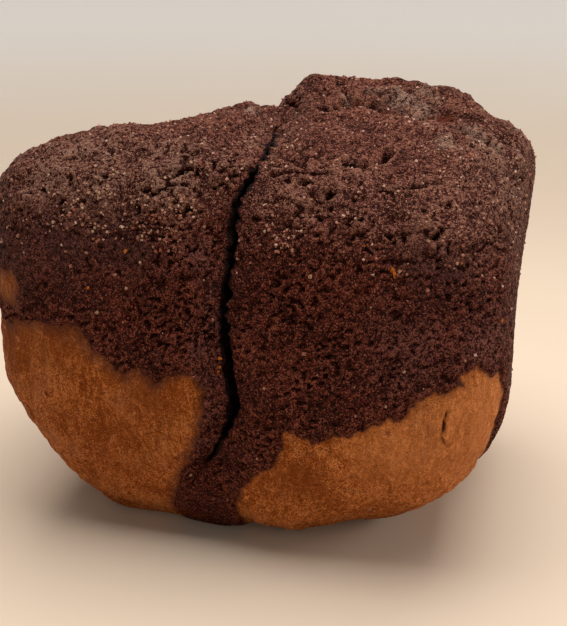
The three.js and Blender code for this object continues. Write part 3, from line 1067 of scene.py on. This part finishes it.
def make_backdrop(settings):
    """A round floor that curves up into a low wall."""
    corners, faces = [], [tuple(range(SWEEP_SIDES))]
    for step in range(SWEEP_STEPS + 1):
        turn = SWEEP_TURN * step / SWEEP_STEPS
        width = SWEEP_START + SWEEP_RADIUS * math.sin(turn)
        rise = SWEEP_RADIUS * (1 - math.cos(turn))
        for side in range(SWEEP_SIDES):
            way = 2 * math.pi * side / SWEEP_SIDES
            corners.append((width * math.cos(way), width * math.sin(way), rise))
            if step:
                beside, over = (side + 1) % SWEEP_SIDES, step * SWEEP_SIDES
                under = over - SWEEP_SIDES
                faces.append((under + side, over + side, over + beside, under + beside))
    sweep = new_object("studio_sweep", new_mesh("studio_sweep", corners, faces, True))
    material, tree, shader, place = surface_material("Studio Paper")
    paper = blend(tree, raised(tree, place, 0.0, 0.12), settings.floor, settings.wall)
    fibres = times(tree, grain(tree, place, 9.0), 0.05)
    paint(tree, shader, blend(tree, fibres, paper, (1.0, 1.0, 1.0)), 0.85)
    sweep.data.materials.append(material)


def make_lights(settings):
    world = bpy.data.worlds.new("Studio Air")
    bpy.context.scene.world = world
    world.use_nodes = True
    air = world.node_tree
    glow = fill(air, air.nodes["Background"], Color=AIR_TINT, Strength=settings.ambient)
    seen = fill(air, add(air, "ShaderNodeBackground"), Color=settings.wall, Strength=SEEN_AIR)
    choice = add(air, "ShaderNodeMixShader")
    watched = add(air, "ShaderNodeLightPath").outputs["Is Camera Ray"]
    for socket, value in zip(choice.inputs, (watched, glow[0], seen[0])):
        put(air, socket, value)
    put(air, air.nodes["World Output"].inputs["Surface"], choice.outputs[0])
    for name, power, width, place, tone in LAMPS:
        lamp = bpy.data.lights.new(name, "AREA")
        lamp.energy, lamp.size, lamp.color = getattr(settings, power), width, tone
        made = new_object(name, lamp)
        made.location = place
        made.rotation_euler = (Vector(LAMP_AIM) - Vector(place)).to_track_quat("-Z", "Y").to_euler()


def make_camera(settings):
    turn, tilt = settings.azimuth, settings.elevation
    back = Vector((math.sin(turn) * math.cos(tilt), -math.cos(turn) * math.cos(tilt), math.sin(tilt)))
    camera = bpy.data.cameras.new("Camera")
    camera.lens = settings.lens
    camera.sensor_width = SENSOR_WIDTH
    camera.clip_start = NEAREST_SEEN
    made = new_object("Camera", camera)
    made.location = Vector(settings.target) + back * settings.distance
    made.rotation_euler = (-back).to_track_quat("-Z", "Y").to_euler()
    bpy.context.scene.camera = made
    bpy.context.scene.view_settings.view_transform = "Standard"


# ---- operators


class MELON_OT_loaf(bpy.types.Operator):
    """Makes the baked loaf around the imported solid"""

    bl_idname = "melon.loaf"
    bl_label = "Loaf"

    def execute(self, context):
        loaf = make_loaf(context.scene.melon_loaf)
        finish_piece(loaf, crust_material(context.scene.melon_colours))
        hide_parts("melon_bread")
        return {"FINISHED"}


class MELON_OT_crumbs(bpy.types.Operator):
    """Sets cookie crumbs into the crust"""

    bl_idname = "melon.crumbs"
    bl_label = "Cookie Crumbs"

    def execute(self, context):
        sizes = context.scene.melon_crumbs
        made = strew(
            "cookie_crumbs", ball_corners(), sizes.crumb_count, sizes.crumb_size, CRUMB_WIDTHS,
            crumb_weight, CRUMB_SEED, CRUMB_SINK, CRUMB_DENTS, True,
        )
        finish_piece(made, crumb_material(context.scene.melon_colours))
        return {"FINISHED"}


class MELON_OT_sugar(bpy.types.Operator):
    """Scatters sugar grains over the crust"""

    bl_idname = "melon.sugar"
    bl_label = "Sugar Grains"

    def execute(self, context):
        sizes = context.scene.melon_crumbs
        made = strew(
            "sugar_grains", box_corners(), sizes.sugar_count, sizes.sugar_size, SUGAR_WIDTHS,
            sugar_weight, SUGAR_SEED, SUGAR_SINK, SUGAR_DENTS, False,
        )
        finish_piece(made, sugar_material(context.scene.melon_colours))
        return {"FINISHED"}


class MELON_OT_bread_bits(bpy.types.Operator):
    """Adds the flakes of bread skin stuck in the cookie dough"""

    bl_idname = "melon.bread_bits"
    bl_label = "Bread Bits"

    def execute(self, context):
        points, normals, _ = read_points(made_loaf().data)
        bits = np.array(BREAD_BITS)
        nearest = [np.argmin(((points - bit[:3]) ** 2).sum(1)) for bit in bits]
        widths = bits[:, 3]
        places = points[nearest] - normals[nearest] * widths[:, None] * BIT_SINK
        rng = np.random.default_rng(BIT_SEED)
        made = scatter("bread_bits", ball_corners(), places * MM, widths * MM, rng, BIT_DENTS, False)
        finish_piece(made, bread_bit_material(context.scene.melon_colours))
        return {"FINISHED"}


class MELON_OT_stage(bpy.types.Operator):
    """Sets the floor, the lights and the camera"""

    bl_idname = "melon.stage"
    bl_label = "Stage"

    def execute(self, context):
        settings = context.scene.melon_stage
        make_backdrop(settings)
        make_lights(settings)
        make_camera(settings)
        return {"FINISHED"}


class MELON_PT_panel(bpy.types.Panel):
    """Lists the loaf's pieces and the stage"""

    bl_idname = "MELON_PT_panel"
    bl_label = "Melon Bread"
    bl_space_type = "VIEW_3D"
    bl_region_type = "UI"
    bl_category = "Melon Bread"

    def draw(self, context):
        for step in STEPS:
            self.layout.operator(step.bl_idname)
        for settings, group in SETTINGS:
            box = self.layout.box()
            for name in group.__annotations__:
                box.prop(getattr(context.scene, settings), name)


STEPS = (MELON_OT_loaf, MELON_OT_crumbs, MELON_OT_sugar, MELON_OT_bread_bits, MELON_OT_stage)
SETTINGS = (
    ("melon_loaf", LoafSizes), ("melon_crumbs", CrumbSizes),
    ("melon_colours", CrustColours), ("melon_stage", StageSettings),
)


def register():
    for name, group in SETTINGS:
        bpy.utils.register_class(group)
        setattr(bpy.types.Scene, name, PointerProperty(type=group))
    for step in (*STEPS, MELON_PT_panel):
        bpy.utils.register_class(step)


def unregister():
    for step in reversed((*STEPS, MELON_PT_panel)):
        bpy.utils.unregister_class(step)
    for name, group in reversed(SETTINGS):
        delattr(bpy.types.Scene, name)
        bpy.utils.unregister_class(group)


def main():
    register()
    bpy.ops.melon.loaf()
    bpy.ops.melon.crumbs()
    bpy.ops.melon.sugar()
    bpy.ops.melon.bread_bits()
    bpy.ops.melon.stage()


if __name__ == "__main__":
    main()
